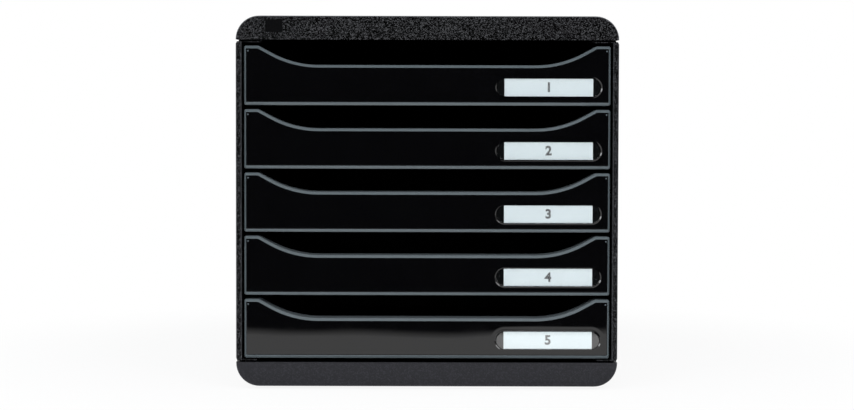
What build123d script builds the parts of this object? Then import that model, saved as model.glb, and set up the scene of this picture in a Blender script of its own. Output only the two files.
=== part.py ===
from build123d import *
import math
import os

# Desktop unit with five letter drawers, in millimetres.
# +Z is up, the drawer fronts face -Y and +X is to the right of someone facing them.
# The origin is under the middle of the case, on the plane that the feet stand on.

# Case
case_width = 278.0
case_depth = 347.0
corner_radius = 17.0
cap_edge_height = 0.2
base_edge_height = 0.5
shell_wall = 2.4
edge_round = 1.0
seam_chamfer_in = 1.6
seam_chamfer_up = 3.2
seam_gap_height = 1.4
seam_gap_depth = 12.0

# Anti-slip feet, let into the underside of the base
foot_height = 2.0
foot_radius = 7.0
foot_seat_depth = 0.6
foot_seat_clearance = 0.2
foot_inset_x = 30.0
foot_inset_y = 26.0
foot_round = 0.5

# Side panels with their front posts, shelves, tongues, runners and keepers
side_wall = 2.4
post_width = 4.2
post_depth = 6.0
post_round = 1.0
shelf_thickness = 2.0
shelf_setback = 0.8
top_shelf_reach = 18.0
bottom_shelf_reach = 15.0
tongue_thickness = 2.0
tongue_height = 6.0
tongue_inset = 4.0
tongue_end_gap = 10.0
runner_thickness = 2.4
keeper_thickness = 2.0
keeper_shortfall = 1.2

# Stiffening ribs inside the cap and the base
rib_thickness = 1.6
cross_rib_height = 8.0
cross_rib_spacing = 88.0
cross_rib_count = 3
clasp_clearance = 0.3

# Back panel
back_wall = 2.2
back_tab_height = 5.0
back_tab_inset = 22.0
back_clearance = 0.3
bead_margin = 22.0
bead_width = 3.0
bead_height = 0.8

# Bare pad on the front of the cap
pad_width = 12.4
pad_height = 9.3
pad_depth = 0.4
pad_from_left = 21.5
pad_from_top = 2.6

# Drawer fronts
drawer_count = 5
drawer_travel = 240.0
front_height = 42.95
front_gap = 3.15
stack_margin_top = 4.55
stack_margin_bottom = 3.1
front_side_gap = 1.8
front_setback = 0.5
front_depth = 17.5
front_wall = 2.0
front_edge_wall = 2.2
front_corner_radius = 1.5
bevel_depth = 1.6
bevel_top = 1.6
bevel_bottom = 1.85
bevel_side = 1.1
crest_width = 0.3
inner_corner_radius = 0.5

# Finger scoop in the upper edge of each front
shoulder_flat = 10.5
scoop_depth = 13.85
scoop_slope = 29.0
scoop_radius = 72.0
shoulder_round = 3.0

# Gloss plate let into each front
plate_thickness = 1.6
plate_recess = 0.2
plate_clearance = 0.3
plate_round = 0.25
pip_radius = 0.55
pip_from_side = 1.4
pip_from_top = 1.7
pip_clearance = 0.1

# Label window and card
slot_bevel = 1.0
window_width = 75.4
window_height = 12.8
window_from_right = 7.05
window_from_bottom = 6.7
window_recess = 0.8
window_clearance = 0.15
window_round = 0.3
card_width = 64.4
card_height = 12.2
card_thickness = 0.3
card_clearance = 0.1

# Drawer trays
tray_wall = 1.8
tray_floor = 1.8
tray_lift = 1.2
tray_height = 27.8
tray_rear_gap = 4.0
tray_corner_radius = 4.0
flange_width = 5.2
flange_thickness = 1.8
flange_hidden_by = 0.4
catch_length = 4.0
catch_height = 2.4
catch_inset = 1.0

# Running clearances
runner_clearance = 0.3
keeper_clearance = 0.6
runner_side_clearance = 0.8
closed_stop_gap = 0.5
open_stop_gap = 0.4

# Planes and levels worked out from the sizes above
half_width = case_width / 2
half_depth = case_depth / 2
front_y = -half_depth
rear_y = half_depth
drawer_pitch = front_height + front_gap
stack_height = (drawer_count - 1) * drawer_pitch + front_height
base_height = corner_radius + base_edge_height
cap_height = corner_radius + cap_edge_height
base_top = foot_height + base_height
cap_bottom = base_top + stack_margin_bottom + stack_height + stack_margin_top
cap_top = cap_bottom + cap_height
side_inner = half_width - side_wall
post_inner = half_width - post_width
back_rear = rear_y - shell_wall
back_front = back_rear - back_wall
inside_rear = back_front - back_clearance

front_half = post_inner - front_side_gap
face_y = front_y + front_setback
plate_y = face_y + plate_recess
pocket_y = plate_y + plate_thickness
wall_rear_y = pocket_y + front_wall
frame_rear_y = face_y + front_depth
window_y = plate_y + window_recess
window_x = front_half - window_from_right - window_width / 2
window_z = window_from_bottom + window_height / 2
card_rear = pocket_y + card_thickness + card_clearance
pip_x = front_half - bevel_side - crest_width - pip_from_side
pip_z = front_height - bevel_top - crest_width - pip_from_top

tray_rear = back_front - tray_rear_gap
flange_half = front_half - flange_hidden_by
tray_half_width = flange_half - flange_width
flange_rear = tray_rear - tray_corner_radius
flange_top = tray_lift + tray_height
flange_bottom = flange_top - flange_thickness
catch_front = flange_rear - catch_length
runner_front = frame_rear_y + closed_stop_gap
runner_reach = tray_half_width + runner_side_clearance
runner_top = flange_bottom - runner_clearance
keeper_bottom = flange_top + keeper_clearance
keeper_rear = catch_front - drawer_travel - open_stop_gap


def block(x0, x1, y0, y1, z0, z1):
    """A plain box between two corners."""
    return Pos((x0 + x1) / 2, (y0 + y1) / 2, (z0 + z1) / 2) * Box(x1 - x0, y1 - y0, z1 - z0)


def stand_up(sketch, y_front, y_rear):
    """A sketch drawn with x across and y up, stood upright and given depth from y_front to y_rear."""
    upright = Plane(origin=(0, y_rear, 0), x_dir=(1, 0, 0), z_dir=(0, -1, 0))
    return extrude(upright * sketch, y_rear - y_front)


def drawer_bottom(number):
    """Height of the lower edge of a front, drawer 1 being the top one."""
    return base_top + stack_margin_bottom + (drawer_count - number) * drawer_pitch


def shell_section(edge_height, wall):
    """Section of the cap: open side at height 0, two round upper corners, taken in by a wall thickness."""
    half = half_width - wall
    shoulder = half_width - corner_radius
    top = corner_radius + edge_height - wall
    radius = corner_radius - wall
    diagonal = radius * math.sin(math.pi / 4)
    lower = Line((-half, 0), (half, 0))
    right = Line((half, 0), (half, edge_height))
    right_middle = (shoulder + diagonal, edge_height + diagonal)
    right_corner = ThreePointArc((half, edge_height), right_middle, (shoulder, top))
    upper = Line((shoulder, top), (-shoulder, top))
    left_middle = (-shoulder - diagonal, edge_height + diagonal)
    left_corner = ThreePointArc((-shoulder, top), left_middle, (-half, edge_height))
    left = Line((-half, edge_height), (-half, 0))
    return make_face([lower, right, right_corner, upper, left_corner, left])


def end_shell(edge_height):
    """The cap, on its open side at height 0: a round-cornered shell with ribs under its top wall."""
    top = corner_radius + edge_height
    outer = stand_up(shell_section(edge_height, 0), front_y, rear_y)
    hollow = stand_up(shell_section(edge_height, shell_wall), front_y + shell_wall, rear_y - shell_wall)
    rims = outer.faces().sort_by(Axis.Y)[0].edges() + outer.faces().sort_by(Axis.Y)[-1].edges()
    rims = [edge for edge in rims if edge.center().Z > edge_height / 4]
    body = fillet(rims, edge_round) - hollow
    rib_space = stand_up(shell_section(edge_height, shell_wall / 2), front_y + shell_wall / 2, inside_rear)
    clasp_outer = half_width - tongue_inset - tongue_thickness - clasp_clearance
    clasp_inner = clasp_outer - rib_thickness
    for side in (-1, 1):
        x_low, x_high = sorted((side * clasp_inner, side * clasp_outer))
        body = body + (block(x_low, x_high, front_y, rear_y, 0, top) & rib_space)
    for number in range(cross_rib_count):
        y_middle = (number - (cross_rib_count - 1) / 2) * cross_rib_spacing
        y_low = y_middle - rib_thickness / 2
        y_high = y_middle + rib_thickness / 2
        z_low = top - shell_wall - cross_rib_height
        body = body + (block(-clasp_inner, clasp_inner, y_low, y_high, z_low, top) & rib_space)
    return body


def make_top_cap():
    """The cap in its place, with the bare pad let into its front."""
    pad_left = -half_width + pad_from_left
    pad_top = cap_top - pad_from_top
    pad_right = pad_left + pad_width
    pad = block(pad_left, pad_right, front_y - 1, front_y + pad_depth, pad_top - pad_height, pad_top)
    return Pos(0, 0, cap_bottom) * end_shell(cap_edge_height) - pad


def foot_places():
    """Centres of the four feet."""
    x = half_width - foot_inset_x
    y = half_depth - foot_inset_y
    return {"front_left": (-x, -y), "front_right": (x, -y), "rear_left": (-x, y), "rear_right": (x, y)}


def make_base():
    """The base: the same shell turned over, with a round seat for each foot."""
    body = Pos(0, 0, base_top) * mirror(end_shell(base_edge_height), Plane.XY)
    for x, y in foot_places().values():
        seat = Cylinder(foot_radius + foot_seat_clearance, 2 * foot_seat_depth)
        body = body - Pos(x, y, foot_height) * seat
    return body


def make_foot(x, y):
    """A round anti-slip pad, its upper part let into the base."""
    height = foot_height + foot_seat_depth
    pad = Pos(x, y, height / 2) * Cylinder(foot_radius, height)
    return fillet(pad.edges().sort_by(Axis.Z)[0], foot_round)


def make_side():
    """The right side panel: wall, posts, shelves, tongues, and a runner and keeper for each drawer."""
    panel = block(side_inner, half_width, front_y, rear_y, base_top, cap_bottom)
    front_post = block(post_inner, half_width, front_y, front_y + post_depth, base_top, cap_bottom)
    post_edges = front_post.edges().filter_by(Axis.Z).group_by(Axis.Y)[0]
    front_post = fillet(post_edges, post_round)
    corner_trim = block(post_inner, half_width, front_y, front_y + post_round, base_top, cap_bottom)
    panel = panel - corner_trim + front_post
    panel = panel + block(post_inner, half_width, back_rear, rear_y, base_top, cap_bottom)
    shelf_front = front_y + shelf_setback
    top_shelf_inner = half_width - top_shelf_reach
    bottom_shelf_inner = half_width - bottom_shelf_reach
    upper_wall = side_inner + side_wall / 2
    top_level = cap_bottom - shelf_thickness
    bottom_level = base_top + shelf_thickness
    panel = panel + block(top_shelf_inner, upper_wall, shelf_front, inside_rear, top_level, cap_bottom)
    panel = panel + block(bottom_shelf_inner, upper_wall, shelf_front, inside_rear, base_top, bottom_level)
    tongue_outer = half_width - tongue_inset
    tongue_inner = tongue_outer - tongue_thickness
    tongue_front = front_y + shell_wall + tongue_end_gap
    tongue_rear = inside_rear - tongue_end_gap
    tongue_low = base_top - tongue_height
    tongue_high = cap_bottom + tongue_height
    panel = panel + block(tongue_inner, tongue_outer, tongue_front, tongue_rear, tongue_low, bottom_level)
    panel = panel + block(tongue_inner, tongue_outer, tongue_front, tongue_rear, top_level, tongue_high)
    for number in range(1, drawer_count + 1):
        level = drawer_bottom(number)
        runner_low = level + runner_top - runner_thickness
        runner_high = level + runner_top
        panel = panel + block(runner_reach, upper_wall, runner_front, inside_rear, runner_low, runner_high)
        keeper_inner = runner_reach + keeper_shortfall
        keeper_low = level + keeper_bottom
        keeper_high = keeper_low + keeper_thickness
        panel = panel + block(keeper_inner, upper_wall, runner_front, keeper_rear, keeper_low, keeper_high)
    gap_rear = front_y + seam_gap_depth
    panel = panel - block(0, half_width + 1, front_y - 1, gap_rear, base_top, base_top + seam_gap_height)
    panel = panel - block(0, half_width + 1, front_y - 1, gap_rear, cap_bottom - seam_gap_height, cap_bottom)
    return panel - seam_groove(base_top, 1) - seam_groove(cap_bottom, -1)


def seam_groove(level, up):
    """Wedge that chamfers the outer edge of a side panel where it meets the cap or the base."""
    past = 1.0
    edge = (half_width - seam_chamfer_in, level)
    corner = (half_width + past, level)
    far = (half_width + past, level + up * seam_chamfer_up * (1 + past / seam_chamfer_in))
    wedge = make_face(Polyline(edge, corner, far, close=True))
    return stand_up(wedge, front_y - past, rear_y + past)


def make_back():
    """The back panel, with tabs into the cap and the base and a raised bead round its field."""
    half = side_inner - back_clearance
    panel = block(-half, half, back_front, back_rear, base_top, cap_bottom)
    tab_half = half_width - back_tab_inset
    tab_low = base_top - back_tab_height
    tab_high = cap_bottom + back_tab_height
    panel = panel + block(-tab_half, tab_half, back_front, back_rear, tab_low, tab_high)
    z_middle = (base_top + cap_bottom) / 2
    bead_across = 2 * (half - bead_margin)
    bead_up = cap_bottom - base_top - 2 * bead_margin
    field = Rectangle(bead_across - 2 * bead_width, bead_up - 2 * bead_width)
    bead = Rectangle(bead_across, bead_up) - field
    return panel + stand_up(Pos(0, z_middle) * bead, back_rear - back_wall / 2, back_rear + bead_height)


def round_corner(before, corner, after, radius):
    """Start, middle and end of the arc that rounds a straight corner."""
    corner = Vector(*corner)
    back = (Vector(*before) - corner).normalized()
    ahead = (Vector(*after) - corner).normalized()
    half_angle = math.radians(back.get_angle(ahead)) / 2
    reach = radius / math.tan(half_angle)
    inward = (back + ahead).normalized() * (radius / math.sin(half_angle) - radius)
    points = (corner + back * reach, corner + inward, corner + ahead * reach)
    return [(point.X, point.Y) for point in points]


def front_outline(side, bottom, top, corner):
    """Outline of a front with its finger scoop, drawn from its lower edge and taken in at each side.

    The scoop is a flat floor, an arc tangent to it, and a slope tangent to the arc up to the shoulder.
    """
    half = front_half - side
    high = front_height - top
    slope = math.radians(scoop_slope)
    floor = front_height - scoop_depth
    slope_rise = scoop_depth - scoop_radius * (1 - math.cos(slope))
    shoulder_x = front_half - shoulder_flat
    centre_x = shoulder_x - slope_rise / math.tan(slope) - scoop_radius * math.sin(slope)
    centre_z = floor + scoop_radius
    radius = scoop_radius + top
    arc_low = (centre_x, centre_z - radius)
    arc_middle = (centre_x + radius * math.sin(slope / 2), centre_z - radius * math.cos(slope / 2))
    arc_high = (centre_x + radius * math.sin(slope), centre_z - radius * math.cos(slope))
    shoulder = (arc_high[0] + (high - arc_high[1]) / math.tan(slope), high)
    lower = round_corner((0, bottom), (half, bottom), (half, high), corner)
    upper = round_corner((half, bottom), (half, high), shoulder, corner)
    brow = round_corner((half, high), shoulder, arc_high, shoulder_round)
    right = [lower, (lower[2], upper[0]), upper, (upper[2], brow[0]), brow, (brow[2], arc_high)]
    right.append((arc_high, arc_middle, arc_low))
    left = [[(-x, z) for x, z in reversed(run)] for run in reversed(right)]
    runs = right + [(arc_low, left[0][0])] + left + [(left[-1][-1], lower[0])]
    return make_face([Line(*run) if len(run) == 2 else ThreePointArc(*run) for run in runs])


def inset_outline(by):
    """Outline of a front, taken in past the bevel and its crest by a distance."""
    past = crest_width + by
    return front_outline(bevel_side + past, bevel_bottom + past, bevel_top + past, inner_corner_radius)


def window_outline(by):
    """Outline of the label window, grown by a distance."""
    return Pos(window_x, window_z) * SlotOverall(window_width + 2 * by, window_height + 2 * by)


def pip_outlines(by):
    """Outlines of the two pips in the upper corners that hold the plate, grown by a distance."""
    return [Pos(side * pip_x, pip_z) * Circle(pip_radius + by) for side in (-1, 1)]


def make_front_frame():
    """The front of a tray: bevelled all round, with a pocket and pips for the plate and hollow behind."""
    edge = front_outline(0, 0, 0, front_corner_radius)
    crest = front_outline(bevel_side, bevel_bottom, bevel_top, inner_corner_radius)
    facing = Plane(origin=(0, face_y, 0), x_dir=(1, 0, 0), z_dir=(0, -1, 0))
    backing = Plane(origin=(0, face_y + bevel_depth, 0), x_dir=(1, 0, 0), z_dir=(0, -1, 0))
    bevel = loft([backing * edge, facing * crest], ruled=True)
    frame = bevel + stand_up(edge, face_y + bevel_depth, frame_rear_y)
    frame = frame - stand_up(inset_outline(0), face_y - 1, pocket_y)
    for pip in pip_outlines(0):
        frame = frame + stand_up(pip, plate_y, pocket_y + front_wall / 2)
    hollow = front_outline(front_edge_wall, front_edge_wall, front_edge_wall, front_corner_radius)
    return frame - stand_up(hollow, wall_rear_y, frame_rear_y + 1)


def make_tray():
    """A tray and its front in one moulding, with a flange along each side that ends in a catch."""
    inner_half = tray_half_width - tray_wall
    outside = block(-tray_half_width, tray_half_width, wall_rear_y, tray_rear, tray_lift, flange_top)
    outside = fillet(outside.edges().filter_by(Axis.Z).group_by(Axis.Y)[-1], tray_corner_radius)
    inside_low = tray_lift + tray_floor
    inside_rear_y = tray_rear - tray_wall
    inside = block(-inner_half, inner_half, wall_rear_y - 1, inside_rear_y, inside_low, front_height)
    inside = fillet(inside.edges().filter_by(Axis.Z).group_by(Axis.Y)[-1], tray_corner_radius - tray_wall)
    tray = make_front_frame() + (outside - inside)
    for side in (-1, 1):
        flange_low, flange_high = sorted((side * (tray_half_width - tray_wall / 2), side * flange_half))
        tray = tray + block(flange_low, flange_high, wall_rear_y, flange_rear, flange_bottom, flange_top)
        catch_low, catch_high = sorted((side * (tray_half_width + catch_inset), side * flange_half))
        catch_top = flange_top + catch_height
        tray = tray + block(catch_low, catch_high, catch_front, flange_rear, flange_bottom, catch_top)
    seat_outline = Rectangle(card_width + 2 * card_clearance, card_height + 2 * card_clearance)
    card_seat = stand_up(Pos(window_x, window_z) * seat_outline, pocket_y - 1, card_rear)
    return tray - card_seat


def make_plate():
    """The gloss plate in its pocket, with a bevelled slot for the label window and a hole for each pip."""
    plate = stand_up(inset_outline(plate_clearance), plate_y, pocket_y)
    plate = fillet(plate.faces().sort_by(Axis.Y)[0].outer_wire().edges(), plate_round)
    plate = plate - stand_up(window_outline(window_clearance), plate_y - 1, pocket_y + 1)
    plate = chamfer(plate.faces().sort_by(Axis.Y)[0].inner_wires()[0].edges(), slot_bevel)
    for hole in pip_outlines(pip_clearance):
        plate = plate - stand_up(hole, plate_y - 1, pocket_y + 1)
    return plate


def make_window():
    """The clear window over the card, let into the slot, its front edge rounded."""
    window = stand_up(window_outline(0), window_y, pocket_y)
    return fillet(window.faces().sort_by(Axis.Y)[0].edges(), window_round)


def make_card():
    """The label card, flat against its seat behind the window."""
    card = Pos(window_x, window_z) * Rectangle(card_width, card_height)
    return stand_up(card, card_rear - card_thickness, card_rear)


def main():
    """Every piece of the unit in its own file."""
    os.makedirs("parts", exist_ok=True)
    right_side = make_side()
    pieces = {
        "top_cap": make_top_cap(),
        "base": make_base(),
        "right_side": right_side,
        "left_side": mirror(right_side, Plane.YZ),
        "back_panel": make_back(),
    }
    for place, (x, y) in foot_places().items():
        pieces[f"foot_{place}"] = make_foot(x, y)
    drawer = {"tray": make_tray(), "plate": make_plate(), "window": make_window(), "card": make_card()}
    for number in range(1, drawer_count + 1):
        for name, piece in drawer.items():
            pieces[f"drawer_{number}_{name}"] = Pos(0, 0, drawer_bottom(number)) * piece
    for name, piece in pieces.items():
        export_step(piece, f"parts/{name}.step")


main()
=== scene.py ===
import math

import bpy
import numpy as np
from mathutils import Euler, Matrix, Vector


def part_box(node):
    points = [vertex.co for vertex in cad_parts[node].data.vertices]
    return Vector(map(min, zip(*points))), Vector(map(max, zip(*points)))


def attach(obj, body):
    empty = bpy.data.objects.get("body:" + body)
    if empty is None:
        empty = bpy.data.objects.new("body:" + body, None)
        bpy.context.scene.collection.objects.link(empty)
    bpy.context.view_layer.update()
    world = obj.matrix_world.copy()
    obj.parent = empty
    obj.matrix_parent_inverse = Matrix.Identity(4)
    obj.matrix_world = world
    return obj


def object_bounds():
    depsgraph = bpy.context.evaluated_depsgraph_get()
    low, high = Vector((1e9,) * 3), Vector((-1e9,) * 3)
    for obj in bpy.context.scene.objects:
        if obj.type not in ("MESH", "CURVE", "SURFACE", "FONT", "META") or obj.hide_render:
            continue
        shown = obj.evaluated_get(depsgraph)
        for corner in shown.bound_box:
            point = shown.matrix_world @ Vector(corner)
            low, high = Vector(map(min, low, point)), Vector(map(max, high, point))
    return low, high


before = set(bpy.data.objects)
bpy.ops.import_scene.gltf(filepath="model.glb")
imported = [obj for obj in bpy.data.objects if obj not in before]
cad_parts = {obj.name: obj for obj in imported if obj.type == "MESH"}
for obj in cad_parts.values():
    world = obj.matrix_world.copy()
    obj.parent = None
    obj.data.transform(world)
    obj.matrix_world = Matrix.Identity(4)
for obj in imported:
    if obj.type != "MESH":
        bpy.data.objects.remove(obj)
cad_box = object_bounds()

# Sizes and places of the drawer unit, in metres

MM = 0.001
drawer_count = 5
case_low, case_high = cad_box
front_y = case_low.y
tray_box = {number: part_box(f"drawer_{number}_tray") for number in range(1, drawer_count + 1)}
card_box = {number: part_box(f"drawer_{number}_card") for number in tray_box}
window_low, window_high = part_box(f"drawer_{drawer_count}_window")
drawer_pitch = (tray_box[1][0].z - tray_box[drawer_count][0].z) / (drawer_count - 1)

# The moulded front of a tray, behind its face
face_y = tray_box[1][0].y
front_depth = 17.5 * MM
front_margin = 0.1 * MM
front_zone_y = face_y + front_depth + front_margin
pocket_depth = 1.8 * MM

# The bare pad in the front of the cap
pad_inset = 21.5 * MM
pad_width = 12.4 * MM
pad_drop = 2.6 * MM
pad_height = 9.3 * MM
pad_reach = 1.0 * MM
pad_left = case_low.x + pad_inset
pad_right = pad_left + pad_width
pad_top = case_high.z - pad_drop
pad_bottom = pad_top - pad_height


# Making materials

# A mix node has one set of sockets for numbers and one for colours
FACTOR = 0
NUMBER_A = 2
NUMBER_B = 3
MIXED_NUMBER = 0
COLOUR_A = 6
COLOUR_B = 7
MIXED_COLOUR = 2


def linear(hex_colour):
    """An sRGB hex colour as linear red, green, blue and 1."""
    parts = [int(hex_colour[i:i + 2], 16) / 255 for i in (1, 3, 5)]
    return [c / 12.92 if c <= 0.04045 else ((c + 0.055) / 1.055) ** 2.4 for c in parts] + [1.0]


def add(tree, kind, settings=None, inputs=None):
    """Adds a node with its settings. Each input gets a value, or a link from another node's output."""
    node = tree.nodes.new(kind)
    for name, value in (settings or {}).items():
        setattr(node, name, value)
    for name, value in (inputs or {}).items():
        if isinstance(value, bpy.types.NodeSocket):
            tree.links.new(value, node.inputs[name])
        else:
            node.inputs[name].default_value = value
    return node


def start_material(name, **sockets):
    """A new material with one shader, whose sockets are set by name."""
    material = bpy.data.materials.new(name)
    material.use_nodes = True
    tree = material.node_tree
    tree.nodes.clear()
    values = {socket.replace("_", " "): value for socket, value in sockets.items()}
    shader = add(tree, "ShaderNodeBsdfPrincipled", inputs=values)
    add(tree, "ShaderNodeOutputMaterial", inputs={"Surface": shader.outputs["BSDF"]})
    return material, tree, shader


def link_finish(tree, shader, colour, roughness=None, bump=None):
    """Links what varies over the surface to its shader."""
    tree.links.new(colour, shader.inputs["Base Color"])
    if roughness is not None:
        tree.links.new(roughness, shader.inputs["Roughness"])
    if bump is not None:
        tree.links.new(bump.outputs["Normal"], shader.inputs["Normal"])


def show(tree, surface):
    """Makes a shader node the surface of its material, in place of the first one."""
    output = next(node for node in tree.nodes if node.type == "OUTPUT_MATERIAL")
    tree.links.new(surface.outputs[0], output.inputs["Surface"])


def inside_range(tree, value, low, high):
    """1 where a value lies between two bounds, else 0."""
    above = add(tree, "ShaderNodeMath", {"operation": "GREATER_THAN"}, {0: value, 1: low})
    below = add(tree, "ShaderNodeMath", {"operation": "LESS_THAN"}, {0: value, 1: high})
    both = add(tree, "ShaderNodeMath", {"operation": "MULTIPLY"}, {
        0: above.outputs[0], 1: below.outputs[0]})
    return both.outputs[0]


# Finishes of the case

def rubbed_edges(tree, highlight_share):
    """How much painted highlight a point gets: its full share halfway round an edge between the front and a
    side, and none on the flats. It paints the light that the rounded edges catch.

    With y the part of the normal that points forwards or back, it is 4 y^2 (1 - y^2) of the share.
    """
    normal = add(tree, "ShaderNodeNewGeometry").outputs["Normal"]
    facing = add(tree, "ShaderNodeSeparateXYZ", inputs={"Vector": normal}).outputs["Y"]
    square = add(tree, "ShaderNodeMath", {"operation": "MULTIPLY"}, {0: facing, 1: facing}).outputs[0]
    rest = add(tree, "ShaderNodeMath", {"operation": "SUBTRACT"}, {0: 1.0, 1: square}).outputs[0]
    halfway = add(tree, "ShaderNodeMath", {"operation": "MULTIPLY"}, {0: square, 1: rest}).outputs[0]
    return add(tree, "ShaderNodeMath", {"operation": "MULTIPLY"}, {0: halfway, 1: 4 * highlight_share}).outputs[0]


def on_the_pad(tree, where):
    """1 on the bare pad in the front of the cap, else 0."""
    place = add(tree, "ShaderNodeSeparateXYZ", inputs={"Vector": where})
    across = inside_range(tree, place.outputs["X"], pad_left, pad_right)
    up = inside_range(tree, place.outputs["Z"], pad_bottom, pad_top)
    near = inside_range(tree, place.outputs["Y"], front_y - pad_reach, front_y + pad_reach)
    flat = add(tree, "ShaderNodeMath", {"operation": "MULTIPLY"}, {0: across, 1: up}).outputs[0]
    return add(tree, "ShaderNodeMath", {"operation": "MULTIPLY"}, {0: flat, 1: near}).outputs[0]


def grained_polystyrene(name, dark, light, grain_mm, relief_mm, roughness, specular, highlight_share=0.2, pad=False):
    """Polystyrene moulded in a spark-eroded tool: dull black, with a grain of small pits and lands.

    Cells of grain_mm, each of its own brightness, and slower clumps give dark and light specks. They are
    drawn coarser than the real grain of 0.3 mm, which wouldn't show. Slow patches vary the sheen. The
    rounded edges are smoother, and are painted lighter: a painted highlight where they catch the light. The
    pad is a flat of smooth, darker plastic.
    """
    grain = grain_mm * MM
    clump_size = 1.4 * grain
    clump_share = 0.3
    darkest_level = 0.7
    lightest_level = 1.1
    # Painted highlight: the lighter colour of the rounded edges, where they catch the light
    edge_highlight_colour = "#6c6e72"
    edge_highlight_roughness = 0.3
    patch_size = 55.6 * MM
    sheen_spread = 0.06
    pad_colour = "#0b0b0c"
    pad_roughness = 0.3

    material, tree, shader = start_material(name, Roughness=roughness, IOR=1.5, Specular_IOR_Level=specular)
    where = add(tree, "ShaderNodeTexCoord").outputs["Object"]
    cells = add(tree, "ShaderNodeTexVoronoi", inputs={"Vector": where, "Scale": 1 / grain})
    speck = add(tree, "ShaderNodeSeparateColor", inputs={"Color": cells.outputs["Color"]})
    clumps = add(tree, "ShaderNodeTexNoise", inputs={
        "Vector": where, "Scale": 1 / clump_size, "Detail": 3.0, "Roughness": 0.7})
    height = add(tree, "ShaderNodeMath", {"operation": "MULTIPLY_ADD"}, {
        0: clumps.outputs["Fac"], 1: clump_share, 2: speck.outputs["Red"]}).outputs[0]
    level = add(tree, "ShaderNodeMapRange", inputs={
        "Value": height, "From Min": darkest_level, "From Max": lightest_level})
    specks = add(tree, "ShaderNodeMix", {"data_type": "RGBA"}, {
        FACTOR: level.outputs["Result"], COLOUR_A: linear(dark), COLOUR_B: linear(light)})

    # Painted highlight on the rounded edges: their colour goes over to the lighter edge colour
    edge_highlight_mask = rubbed_edges(tree, highlight_share)
    highlighted = add(tree, "ShaderNodeMix", {"data_type": "RGBA"}, {
        FACTOR: edge_highlight_mask, COLOUR_A: specks.outputs[MIXED_COLOUR], COLOUR_B: linear(edge_highlight_colour)})
    patches = add(tree, "ShaderNodeTexNoise", inputs={
        "Vector": where, "Scale": 1 / patch_size, "Detail": 3.0})
    sheen = add(tree, "ShaderNodeMapRange", inputs={
        "Value": patches.outputs["Fac"],
        "To Min": roughness - sheen_spread, "To Max": roughness + sheen_spread})
    smooth = add(tree, "ShaderNodeMix", {"data_type": "FLOAT"}, {
        FACTOR: edge_highlight_mask, NUMBER_A: sheen.outputs["Result"], NUMBER_B: edge_highlight_roughness})
    bump = add(tree, "ShaderNodeBump", inputs={
        "Height": height, "Strength": 1.0, "Distance": relief_mm * MM})

    colour = highlighted.outputs[MIXED_COLOUR]
    dullness = smooth.outputs[MIXED_NUMBER]
    if pad:
        mask = on_the_pad(tree, where)
        colour = add(tree, "ShaderNodeMix", {"data_type": "RGBA"}, {
            FACTOR: mask, COLOUR_A: colour, COLOUR_B: linear(pad_colour)}).outputs[MIXED_COLOUR]
        dullness = add(tree, "ShaderNodeMix", {"data_type": "FLOAT"}, {
            FACTOR: mask, NUMBER_A: dullness, NUMBER_B: pad_roughness}).outputs[MIXED_NUMBER]
    link_finish(tree, shader, colour, dullness, bump)
    return material


def foot_rubber():
    """Rubber pressed in a plain mould: matt black, with dust in its pores."""
    pore_size = 1.43 * MM
    pore_depth = 0.05 * MM
    material, tree, shader = start_material("black_foot_rubber", Roughness=0.85, IOR=1.45)
    where = add(tree, "ShaderNodeTexCoord").outputs["Object"]
    pores = add(tree, "ShaderNodeTexNoise", inputs={"Vector": where, "Scale": 1 / pore_size, "Detail": 4.0})
    colour = add(tree, "ShaderNodeMix", {"data_type": "RGBA"}, {
        FACTOR: pores.outputs["Fac"], COLOUR_A: linear("#121212"), COLOUR_B: linear("#1f1f1e")})
    bump = add(tree, "ShaderNodeBump", inputs={
        "Height": pores.outputs["Fac"], "Strength": 0.7, "Distance": pore_depth})
    link_finish(tree, shader, colour.outputs[MIXED_COLOUR], bump=bump)
    return material


# Finishes of the drawers

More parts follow.
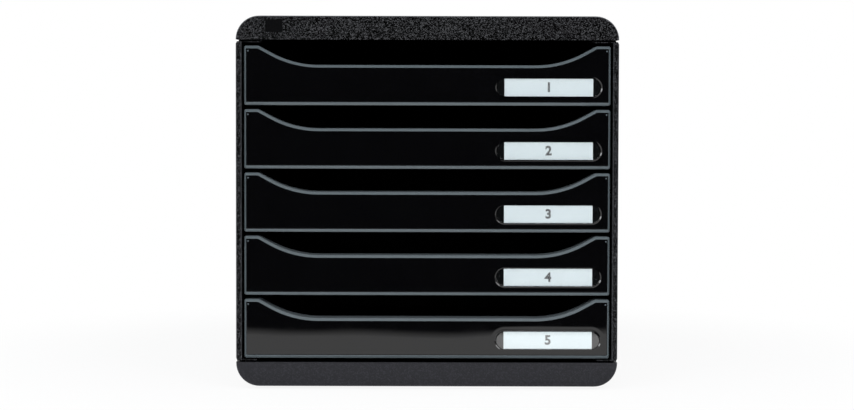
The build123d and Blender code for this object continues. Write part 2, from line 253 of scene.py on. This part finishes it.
def satin_tray_polystyrene():
    """Polystyrene moulded in a smooth tool: satin charcoal trays with a grey rim round each front.

    The rim is what lies in the front's depth. Its faces that look up, such as the lip of the scoop, are
    painted
    lighter: painted light, as if lit more from above. What looks straight out from behind the face is the
    floor of the pocket, dark and polished.
    """
    forward_normal = -0.95
    upward_normal = 0.75
    mottle_size = 16.7 * MM
    haze_size = 0.455 * MM
    haze_depth = 0.02 * MM
    tray_roughness = 0.38
    rim_roughness = 0.2
    pocket_roughness = 0.07

    material, tree, shader = start_material("satin_polystyrene_tray", Roughness=0.4, IOR=1.5)
    where = add(tree, "ShaderNodeTexCoord").outputs["Object"]
    place = add(tree, "ShaderNodeSeparateXYZ", inputs={"Vector": where})
    normal = add(tree, "ShaderNodeNewGeometry").outputs["True Normal"]
    facing = add(tree, "ShaderNodeSeparateXYZ", inputs={"Vector": normal})
    forward = add(tree, "ShaderNodeMath", {"operation": "LESS_THAN"}, {
        0: facing.outputs["Y"], 1: forward_normal})
    upward = add(tree, "ShaderNodeMath", {"operation": "GREATER_THAN"}, {
        0: facing.outputs["Z"], 1: upward_normal})
    in_front = add(tree, "ShaderNodeMath", {"operation": "LESS_THAN"}, {
        0: place.outputs["Y"], 1: front_zone_y})
    sunk = inside_range(tree, place.outputs["Y"], face_y + pocket_depth / 2, front_zone_y)
    pocket = add(tree, "ShaderNodeMath", {"operation": "MULTIPLY"}, {
        0: forward.outputs[0], 1: sunk}).outputs[0]
    rim = add(tree, "ShaderNodeMath", {"operation": "SUBTRACT", "use_clamp": True}, {
        0: in_front.outputs[0], 1: pocket}).outputs[0]

    mottle = add(tree, "ShaderNodeTexNoise", inputs={
        "Vector": where, "Scale": 1 / mottle_size, "Detail": 4.0})
    tray = add(tree, "ShaderNodeMix", {"data_type": "RGBA"}, {
        FACTOR: mottle.outputs["Fac"], COLOUR_A: linear("#1d1e20"), COLOUR_B: linear("#26272a")})
    border = add(tree, "ShaderNodeMix", {"data_type": "RGBA"}, {
        FACTOR: mottle.outputs["Fac"], COLOUR_A: linear("#4f575b"), COLOUR_B: linear("#586064")})
    # Painted light: the rim's faces that look up are painted a lighter grey
    lip = add(tree, "ShaderNodeMix", {"data_type": "RGBA"}, {
        FACTOR: upward.outputs[0], COLOUR_A: border.outputs[MIXED_COLOUR], COLOUR_B: linear("#6a7276")})
    rimmed = add(tree, "ShaderNodeMix", {"data_type": "RGBA"}, {
        FACTOR: rim, COLOUR_A: tray.outputs[MIXED_COLOUR], COLOUR_B: lip.outputs[MIXED_COLOUR]})
    colour = add(tree, "ShaderNodeMix", {"data_type": "RGBA"}, {
        FACTOR: pocket, COLOUR_A: rimmed.outputs[MIXED_COLOUR], COLOUR_B: linear("#0c0d0e")})

    satin = add(tree, "ShaderNodeMix", {"data_type": "FLOAT"}, {
        FACTOR: rim, NUMBER_A: tray_roughness, NUMBER_B: rim_roughness})
    polish = add(tree, "ShaderNodeMix", {"data_type": "FLOAT"}, {
        FACTOR: pocket, NUMBER_A: satin.outputs[MIXED_NUMBER], NUMBER_B: pocket_roughness})
    haze = add(tree, "ShaderNodeTexNoise", inputs={"Vector": where, "Scale": 1 / haze_size, "Detail": 1.0})
    bump = add(tree, "ShaderNodeBump", inputs={
        "Height": haze.outputs["Fac"], "Strength": 0.6, "Distance": haze_depth})
    link_finish(tree, shader, colour.outputs[MIXED_COLOUR], polish.outputs[MIXED_NUMBER], bump)
    return material


def distance_from_slot(tree, where):
    """How far a point of a plate lies from the spine of its label slot, in the plane of the front.

    The spine is the line between the centres of the slot's round ends. Heights are taken from the middle
    of the nearest slot, so that the same sum serves every drawer.
    """
    middle_x = (window_low.x + window_high.x) / 2
    middle_z = (window_low.z + window_high.z) / 2
    half_spine = (window_high.x - window_low.x - window_high.z + window_low.z) / 2
    place = add(tree, "ShaderNodeSeparateXYZ", inputs={"Vector": where})
    across = add(tree, "ShaderNodeMath", {"operation": "SUBTRACT"}, {0: place.outputs["X"], 1: middle_x})
    aside = add(tree, "ShaderNodeMath", {"operation": "ABSOLUTE"}, {0: across.outputs[0]})
    past = add(tree, "ShaderNodeMath", {"operation": "SUBTRACT"}, {0: aside.outputs[0], 1: half_spine})
    beyond = add(tree, "ShaderNodeMath", {"operation": "MAXIMUM"}, {0: past.outputs[0], 1: 0.0})
    up = add(tree, "ShaderNodeMath", {"operation": "SUBTRACT"}, {0: place.outputs["Z"], 1: middle_z})
    own = add(tree, "ShaderNodeMath", {"operation": "WRAP"}, {
        0: up.outputs[0], 1: drawer_pitch / 2, 2: -drawer_pitch / 2})
    flat = add(tree, "ShaderNodeCombineXYZ", inputs={"X": beyond.outputs[0], "Z": own.outputs[0]})
    return add(tree, "ShaderNodeVectorMath", {"operation": "LENGTH"}, {0: flat.outputs[0]}).outputs["Value"]


def gloss_black_styrene():
    """Black polystyrene moulded in a polished tool: a mirror gloss over black.

    It has the slow waves of a thin moulding, and handling leaves it a little duller in patches. The face
    sinks by sink_depth round the label slot, as it does where a moulding cools round a hole.
    """
    wave_length = 90.9 * MM
    wave_height = 0.6 * MM
    sink_depth = 0.021 * MM
    sink_start = 1.3 * MM
    sink_end = 4.2 * MM
    touched_size = 22.2 * MM
    touched_low = 0.45
    touched_high = 0.75
    polished = 0.02
    dulled = 0.06
    slot_radius = (window_high.z - window_low.z) / 2

    material, tree, shader = start_material("gloss_black_polystyrene", Roughness=0.03, IOR=1.56)
    where = add(tree, "ShaderNodeTexCoord").outputs["Object"]
    waves = add(tree, "ShaderNodeTexNoise", inputs={
        "Vector": where, "Scale": 1 / wave_length, "Detail": 1.0})
    wavy = add(tree, "ShaderNodeBump", inputs={
        "Height": waves.outputs["Fac"], "Strength": 1.0, "Distance": wave_height})
    sink = add(tree, "ShaderNodeMapRange", {"interpolation_type": "SMOOTHSTEP"}, {
        "Value": distance_from_slot(tree, where),
        "From Min": slot_radius + sink_start, "From Max": slot_radius + sink_end})
    bump = add(tree, "ShaderNodeBump", inputs={
        "Height": sink.outputs["Result"], "Strength": 1.0, "Distance": sink_depth,
        "Normal": wavy.outputs["Normal"]})
    touched = add(tree, "ShaderNodeTexNoise", inputs={
        "Vector": where, "Scale": 1 / touched_size, "Detail": 5.0, "Roughness": 0.7})
    dullness = add(tree, "ShaderNodeMapRange", inputs={
        "Value": touched.outputs["Fac"], "From Min": touched_low, "From Max": touched_high,
        "To Min": polished, "To Max": dulled})
    colour = add(tree, "ShaderNodeMix", {"data_type": "RGBA"}, {
        FACTOR: touched.outputs["Fac"], COLOUR_A: linear("#020203"), COLOUR_B: linear("#060607")})
    link_finish(tree, shader, colour.outputs[MIXED_COLOUR], dullness.outputs["Result"], bump)
    return material


def clear_styrene():
    """Crystal polystyrene moulded in a polished tool: clear, with two faces that both mirror.

    The coat stands for what the rear face mirrors, so that the window shows grey beside its card. The face
    sinks a little, as a moulding does. Light for the card passes through, hardly dimmed.
    """
    sink_size = 16.7 * MM
    sink_depth = 0.02 * MM
    material, tree, shader = start_material(
        "clear_crystal_polystyrene", Base_Color=linear("#fbfdfe"), Roughness=0.01, IOR=1.59,
        Transmission_Weight=1.0, Coat_Weight=1.0, Coat_IOR=1.9)
    where = add(tree, "ShaderNodeTexCoord").outputs["Object"]
    sink = add(tree, "ShaderNodeTexNoise", inputs={"Vector": where, "Scale": 1 / sink_size, "Detail": 1.0})
    bump = add(tree, "ShaderNodeBump", inputs={
        "Height": sink.outputs["Fac"], "Strength": 1.0, "Distance": sink_depth})
    tree.links.new(bump.outputs["Normal"], shader.inputs["Normal"])
    path = add(tree, "ShaderNodeLightPath")
    lighting = add(tree, "ShaderNodeMath", {"operation": "MAXIMUM"}, {
        0: path.outputs["Is Shadow Ray"], 1: path.outputs["Is Diffuse Ray"]})
    passing = add(tree, "ShaderNodeBsdfTransparent", inputs={"Color": linear("#fcfdfd")})
    show(tree, add(tree, "ShaderNodeMixShader", inputs={
        0: lighting.outputs[0], 1: shader.outputs[0], 2: passing.outputs[0]}))
    return material


def label_card_paper():
    """Smooth pressed card: a matt cool white with faint fibres, drawn coarser than real ones."""
    fibre_size = 0.714 * MM
    fibre_depth = 0.02 * MM
    material, tree, shader = start_material("white_label_card", Roughness=0.8, IOR=1.4)
    where = add(tree, "ShaderNodeTexCoord").outputs["Object"]
    fibres = add(tree, "ShaderNodeTexNoise", inputs={
        "Vector": where, "Scale": 1 / fibre_size, "Detail": 4.0})
    colour = add(tree, "ShaderNodeMix", {"data_type": "RGBA"}, {
        FACTOR: fibres.outputs["Fac"], COLOUR_A: linear("#cfd8da"), COLOUR_B: linear("#d7dfe1")})
    bump = add(tree, "ShaderNodeBump", inputs={
        "Height": fibres.outputs["Fac"], "Strength": 0.5, "Distance": fibre_depth})
    link_finish(tree, shader, colour.outputs[MIXED_COLOUR], bump=bump)
    return material


def printing_ink():
    """Printing ink on card: dark grey, a little uneven where the fibres take less of it."""
    uneven_size = 0.333 * MM
    material, tree, shader = start_material("dark_grey_print", Roughness=0.6, IOR=1.45)
    where = add(tree, "ShaderNodeTexCoord").outputs["Object"]
    uneven = add(tree, "ShaderNodeTexNoise", inputs={
        "Vector": where, "Scale": 1 / uneven_size, "Detail": 2.0})
    colour = add(tree, "ShaderNodeMix", {"data_type": "RGBA"}, {
        FACTOR: uneven.outputs["Fac"], COLOUR_A: linear("#1a1c1e"), COLOUR_B: linear("#26282b")})
    link_finish(tree, shader, colour.outputs[MIXED_COLOUR])
    return material


# Dressing the drawer unit

def dress(node, material):
    """Gives a carried-over node its finish."""
    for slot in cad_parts[node].material_slots:
        slot.material = material


# The coarse grain of the cap, the medium one of the sides, the finer ones of the base and the back
cap_finish = grained_polystyrene(
    "coarse_grain_polystyrene", dark="#010101", light="#454547", grain_mm=0.55, relief_mm=0.05,
    roughness=0.65, specular=0.05, highlight_share=0.45, pad=True)
side_finish = grained_polystyrene(
    "medium_grain_polystyrene", dark="#030303", light="#404043", grain_mm=0.6, relief_mm=0.05,
    roughness=0.65, specular=0.05)
base_finish = grained_polystyrene(
    "fine_grain_polystyrene", dark="#202024", light="#2b2b30", grain_mm=0.8, relief_mm=0.04,
    roughness=0.5, specular=0.22)
back_finish = grained_polystyrene(
    "fine_grain_back_polystyrene", dark="#151516", light="#262629", grain_mm=0.9, relief_mm=0.06,
    roughness=0.55, specular=0.3)
rubber = foot_rubber()
tray_finish = satin_tray_polystyrene()
plate_finish = gloss_black_styrene()
window_finish = clear_styrene()
card_finish = label_card_paper()
ink = printing_ink()

dress("top_cap", cap_finish)
dress("left_side", side_finish)
dress("right_side", side_finish)
dress("base", base_finish)
dress("back_panel", back_finish)
for corner in ("front_left", "front_right", "rear_left", "rear_right"):
    dress(f"foot_{corner}", rubber)
for number in tray_box:
    dress(f"drawer_{number}_tray", tray_finish)
    dress(f"drawer_{number}_plate", plate_finish)
    dress(f"drawer_{number}_window", window_finish)
    dress(f"drawer_{number}_card", card_finish)


# Printed numbers on the label cards

digit_height = 7.1 * MM
digit_raise = 0.03 * MM
digit_up = 0.3 * MM
digit_weight = 0.035


def print_number(number):
    """A plain printed number on its card, as a flat mesh just in front of it.

    The outline comes from the default font, thickened by digit_weight. It is scaled to digit_height about
    its own middle, which goes to the middle of the card, digit_up higher.
    """
    low, high = card_box[number]
    text = bpy.data.curves.new(f"digit_{number}", "FONT")
    text.body = str(number)
    text.align_x = "CENTER"
    text.offset = digit_weight
    outline = bpy.data.objects.new(f"digit_{number}", text)
    bpy.context.scene.collection.objects.link(outline)
    bpy.context.view_layer.update()
    mesh = bpy.data.meshes.new_from_object(outline.evaluated_get(bpy.context.evaluated_depsgraph_get()))
    bpy.data.objects.remove(outline)

    points = np.empty(len(mesh.vertices) * 3)
    mesh.vertices.foreach_get("co", points)
    points = points.reshape(-1, 3)
    highest = points.max(axis=0)
    lowest = points.min(axis=0)
    scale = digit_height / (highest - lowest)[1]
    flat = (points - (highest + lowest) / 2) * scale
    x = flat[:, 0] + (low.x + high.x) / 2
    z = flat[:, 1] + (low.z + high.z) / 2 + digit_up
    y = np.full(len(flat), low.y - digit_raise)
    mesh.vertices.foreach_set("co", np.stack([x, y, z], axis=1).ravel())
    mesh.update()
    mesh.materials.clear()
    mesh.materials.append(ink)

    piece = bpy.data.objects.new(f"printed_number_{number}", mesh)
    bpy.context.scene.collection.objects.link(piece)
    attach(piece, f"drawer_{number}")


for number in card_box:
    print_number(number)


# Floor and dark screen

floor_reach = 6.0
floor_gap = 0.3 * MM
white_share = 0.9
shadow_start = 0.24
shadow_end = 0.5

screen_distance = 0.338
screen_width = 1.5
screen_height = 0.9
screen_foot = -1.0 * MM
screen_haze = 7.0 * MM
haze_level = 0.8
black_level = 0.011


def stage_plane(name, corners, material):
    """A flat, four-cornered piece of the studio, which isn't part of the object."""
    mesh = bpy.data.meshes.new(name)
    mesh.from_pydata(corners, [], [(0, 1, 2, 3)])
    mesh.materials.append(material)
    plane = bpy.data.objects.new(name, mesh)
    bpy.context.scene.collection.objects.link(plane)
    return plane


def white_floor():
    """The floor's material: white to mirrors and to the camera, but for the soft shadow.

    Out to shadow_start from the middle, the camera sees white_share of plain white, and for the rest the
    lit floor, which holds the shadow. From there to shadow_end it goes over to plain white. From below,
    the camera looks through the floor at the feet.
    """
    material, tree, shader = start_material(
        "pale_floor", Base_Color=linear("#f4f4f4"), Roughness=0.9, IOR=1.3)
    path = add(tree, "ShaderNodeLightPath")
    white = add(tree, "ShaderNodeEmission", inputs={"Color": linear("#ffffff"), "Strength": 1.0})
    share = add(tree, "ShaderNodeMath", {"operation": "MULTIPLY"}, {
        0: path.outputs["Is Camera Ray"], 1: white_share})
    near = add(tree, "ShaderNodeMixShader", inputs={
        0: share.outputs[0], 1: shader.outputs[0], 2: white.outputs[0]})

    where = add(tree, "ShaderNodeTexCoord").outputs["Object"]
    place = add(tree, "ShaderNodeSeparateXYZ", inputs={"Vector": where})
    level = add(tree, "ShaderNodeCombineXYZ", inputs={"X": place.outputs["X"], "Y": place.outputs["Y"]})
    away = add(tree, "ShaderNodeVectorMath", {"operation": "LENGTH"}, {0: level.outputs[0]})
    fade = add(tree, "ShaderNodeMapRange", {"interpolation_type": "SMOOTHSTEP"}, {
        "Value": away.outputs["Value"], "From Min": shadow_start, "From Max": shadow_end})
    seen = add(tree, "ShaderNodeMath", {"operation": "MULTIPLY"}, {
        0: path.outputs["Is Camera Ray"], 1: fade.outputs["Result"]})
    mirrored = add(tree, "ShaderNodeMath", {"operation": "MAXIMUM"}, {
        0: path.outputs["Is Glossy Ray"], 1: path.outputs["Is Transmission Ray"]})
    plain = add(tree, "ShaderNodeMath", {"operation": "MAXIMUM"}, {
        0: seen.outputs[0], 1: mirrored.outputs[0]})
    above = add(tree, "ShaderNodeMixShader", inputs={
        0: plain.outputs[0], 1: near.outputs[0], 2: white.outputs[0]})

    underside = add(tree, "ShaderNodeNewGeometry").outputs["Backfacing"]
    below = add(tree, "ShaderNodeMath", {"operation": "MULTIPLY"}, {
        0: path.outputs["Is Camera Ray"], 1: underside})
    clear = add(tree, "ShaderNodeBsdfTransparent")
    show(tree, add(tree, "ShaderNodeMixShader", inputs={
        0: below.outputs[0], 1: above.outputs[0], 2: clear.outputs[0]}))
    return material


def studio_black():
    """The dark half of the studio: near black, going over to the table's white along its foot."""
    material = bpy.data.materials.new("studio_black")
    material.use_nodes = True
    tree = material.node_tree
    tree.nodes.clear()
    where = add(tree, "ShaderNodeTexCoord").outputs["Object"]
    place = add(tree, "ShaderNodeSeparateXYZ", inputs={"Vector": where})
    haze = add(tree, "ShaderNodeMapRange", {"interpolation_type": "SMOOTHSTEP"}, {
        "Value": place.outputs["Z"], "From Min": screen_foot, "From Max": screen_haze,
        "To Min": haze_level, "To Max": black_level})
    dark = add(tree, "ShaderNodeEmission", inputs={"Color": haze.outputs["Result"]})
    add(tree, "ShaderNodeOutputMaterial", inputs={"Surface": dark.outputs[0]})
    return material


def make_floor():
    """A plain pale floor, just under the feet."""
    level = case_low.z - floor_gap
    corners = [(-floor_reach, -floor_reach, level), (floor_reach, -floor_reach, level),
               (floor_reach, floor_reach, level), (-floor_reach, floor_reach, level)]
    stage_plane("floor", corners, white_floor())


def make_dark_screen():
    """A black screen in front of the object, which only mirrors see: it keeps the gloss fronts black."""
    y = front_y - screen_distance
    half = screen_width / 2
    corners = [(-half, y, 0), (half, y, 0), (half, y, screen_height), (-half, y, screen_height)]
    screen = stage_plane("dark_screen", corners, studio_black())
    screen.visible_camera = False
    screen.visible_diffuse = False
    screen.visible_transmission = False
    screen.visible_shadow = False
    screen.visible_volume_scatter = False


make_floor()
make_dark_screen()


# World and lamps

world_fill = 0.3
glow_ahead = 0.08
glow_level = 2.0 * MM


def make_world():
    """A white studio: white to the camera, mirrors and clear pieces, and a soft grey fill to all else."""
    world = bpy.data.worlds.new("studio")
    bpy.context.scene.world = world
    world.use_nodes = True
    tree = world.node_tree
    tree.nodes.clear()
    path = add(tree, "ShaderNodeLightPath")
    through = add(tree, "ShaderNodeMath", {"operation": "MAXIMUM"}, {
        0: path.outputs["Is Camera Ray"], 1: path.outputs["Is Transmission Ray"]})
    seen = add(tree, "ShaderNodeMath", {"operation": "MAXIMUM"}, {
        0: through.outputs[0], 1: path.outputs["Is Glossy Ray"]})
    white = add(tree, "ShaderNodeBackground", inputs={"Color": linear("#ffffff"), "Strength": 1.0})
    fill = add(tree, "ShaderNodeBackground", inputs={"Color": linear("#fcfdff"), "Strength": world_fill})
    mixed = add(tree, "ShaderNodeMixShader", inputs={
        0: seen.outputs[0], 1: fill.outputs[0], 2: white.outputs[0]})
    add(tree, "ShaderNodeOutputWorld", inputs={"Surface": mixed.outputs[0]})


def softbox(name, place, aim, width, height, radiance, colour="#ffffff"):
    """A rectangular soft light at a place, turned to its aim, as bright as radiance to a mirror."""
    lamp = bpy.data.lights.new(name, "AREA")
    lamp.shape = "RECTANGLE"
    lamp.size = width
    lamp.size_y = height
    lamp.energy = radiance * math.pi * width * height
    lamp.color = linear(colour)[:3]
    holder = bpy.data.objects.new(name, lamp)
    bpy.context.scene.collection.objects.link(holder)
    holder.location = place
    holder.rotation_euler = (Vector(aim) - Vector(place)).to_track_quat("-Z", "Y").to_euler()
    holder.visible_camera = False
    return holder


def make_table_glow():
    """The light that the white table throws up at the lower edges of the fronts, unseen by mirrors."""
    y = front_y - glow_ahead
    glow = softbox("table_glow", place=(0.0, y, glow_level), aim=(0.0, y, 1.0), width=0.6, height=0.12,
                   radiance=0.8)
    glow.visible_glossy = False
    glow.visible_transmission = False


make_world()
softbox("overhead_softbox", place=(0.0, -1.35, 1.35), aim=(0.0, -0.1, 0.15), width=1.8, height=0.9,
        radiance=3.2, colour="#f4faff")
softbox("left_softbox", place=(-1.3, -0.12, 0.6), aim=(0.0, -0.05, 0.13), width=0.6, height=0.5,
        radiance=5.5, colour="#f7fbff")
softbox("right_softbox", place=(1.3, -0.12, 0.95), aim=(0.0, -0.05, 0.13), width=0.6, height=0.9,
        radiance=3.2, colour="#fbfdff")
softbox("front_left_softbox", place=(-1.2, -1.5, 0.9), aim=(0.0, -0.1, 0.12), width=1.0, height=1.0,
        radiance=3.0)
softbox("front_right_softbox", place=(1.2, -1.5, 0.9), aim=(0.0, -0.1, 0.12), width=1.0, height=1.0,
        radiance=2.8)
make_table_glow()


# Camera, at the photograph's viewing angle

frame_width = 854
mm_per_pixel = 0.7258
camera_distance = 1.6
camera_height = 0.225
middle_x_pixel = 427.35
middle_z = 134.65 * MM
lens_shift_y = -0.025
roll = math.radians(-0.14)


def make_camera():
    """A nearly frontal long lens. A pixel of the picture is mm_per_pixel wide in the plane of the fronts.

    It looks down by the angle that, with the lens shift, brings middle_z to the middle of the picture.
    """
    pixel = mm_per_pixel * MM
    camera = bpy.data.cameras.new("camera")
    camera.sensor_fit = "HORIZONTAL"
    camera.sensor_width = 36.0
    camera.lens = camera.sensor_width * camera_distance / (pixel * frame_width)
    camera.shift_y = lens_shift_y
    camera.clip_start = 0.05
    camera.clip_end = 50.0

    seen_by_shift = lens_shift_y * frame_width * pixel
    drop = camera_height - (middle_z - seen_by_shift)
    pitch = math.atan2(drop, camera_distance)
    aside = (frame_width / 2 - middle_x_pixel) * pixel
    holder = bpy.data.objects.new("camera", camera)
    bpy.context.scene.collection.objects.link(holder)
    holder.location = (aside, front_y - camera_distance, camera_height)
    holder.rotation_euler = Euler((math.pi / 2 - pitch, roll, 0.0), "XYZ")
    bpy.context.scene.camera = holder


make_camera()
bpy.context.scene.view_settings.view_transform = "Standard"
